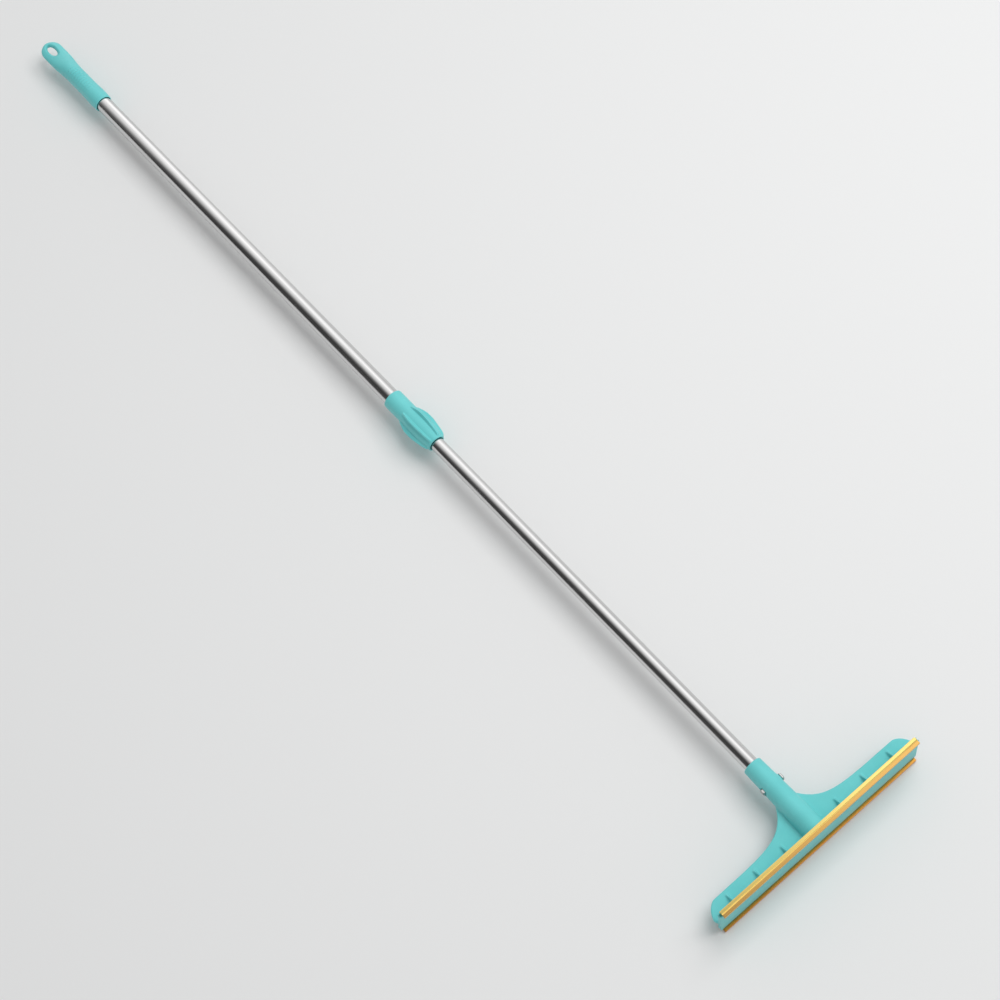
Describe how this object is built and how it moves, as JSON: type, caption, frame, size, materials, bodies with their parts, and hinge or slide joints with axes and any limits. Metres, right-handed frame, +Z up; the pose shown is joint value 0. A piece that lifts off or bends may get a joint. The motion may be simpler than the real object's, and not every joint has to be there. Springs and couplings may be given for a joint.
{
  "type": "pole scraper",
  "caption": "Long-handled scraper: a wide plastic head with a brass scraping strip along its upper and lower edge, on a telescopic steel pole with a twist lock and a hanging grip.",
  "frame": {"origin": "on the floor under the middle of the whole tool as it lies flat", "axes": "+Y along the pole from the head to the grip, +X across the head towards the bolt head, +Z up out of the floor"},
  "size_m": [0.2646, 1.3228, 0.056],
  "materials": {
    "grip_plastic": "satin moulded teal polypropylene",
    "outer_tube_steel": "polished stainless tube",
    "ferrule_plastic": "natural moulded plastic",
    "bush_plastic": "natural moulded plastic",
    "nut_plastic": "satin moulded teal polypropylene",
    "guide_plastic": "dark moulded plastic",
    "inner_tube_steel": "polished stainless tube",
    "insert_plastic": "dark moulded plastic",
    "head_plastic": "satin moulded teal polypropylene",
    "upper_strip_brass": "bright rolled brass",
    "lower_strip_brass": "bright rolled brass",
    "bolt_steel": "zinc-plated screw",
    "hexagon_steel": "zinc-plated nut"
  },
  "bodies": {
    "handle": {"hand_grip": "grip_plastic", "outer_tube": "outer_tube_steel", "lock_ferrule": "ferrule_plastic"},
    "clamp": {"clamp_bush": "bush_plastic"},
    "lock": {"lock_nut": "nut_plastic"},
    "slider": {"guide_plug": "guide_plastic"},
    "head": {"inner_tube": "inner_tube_steel", "tube_insert": "insert_plastic", "head_body": "head_plastic", "upper_strip": "upper_strip_brass", "lower_strip": "lower_strip_brass", "cross_bolt": "bolt_steel", "hex_nut": "hexagon_steel"}
  },
  "joints": [
    {"name": "clamp_slide", "type": "slide", "parent": "handle", "child": "clamp", "axis": [0, -1, 0], "range_m": [0, 0.0023]},
    {"name": "lock_turn", "type": "hinge", "parent": "clamp", "child": "lock", "pos_m": [0, -0.077, 0.028], "axis": [0, -1, 0], "range_deg": [0, 270]},
    {"name": "pole_slide", "type": "slide", "parent": "handle", "child": "slider", "axis": [0, -1, 0], "range_m": [-0.475, 0.06]},
    {"name": "head_turn", "type": "hinge", "parent": "slider", "child": "head", "pos_m": [0, -0.0355, 0.028], "axis": [0, 1, 0], "continuous": true}
  ],
  "couplings": [
    {"joint": "clamp_slide", "follows": "lock_turn", "m_per_rad": 0.00047746}
  ]
}
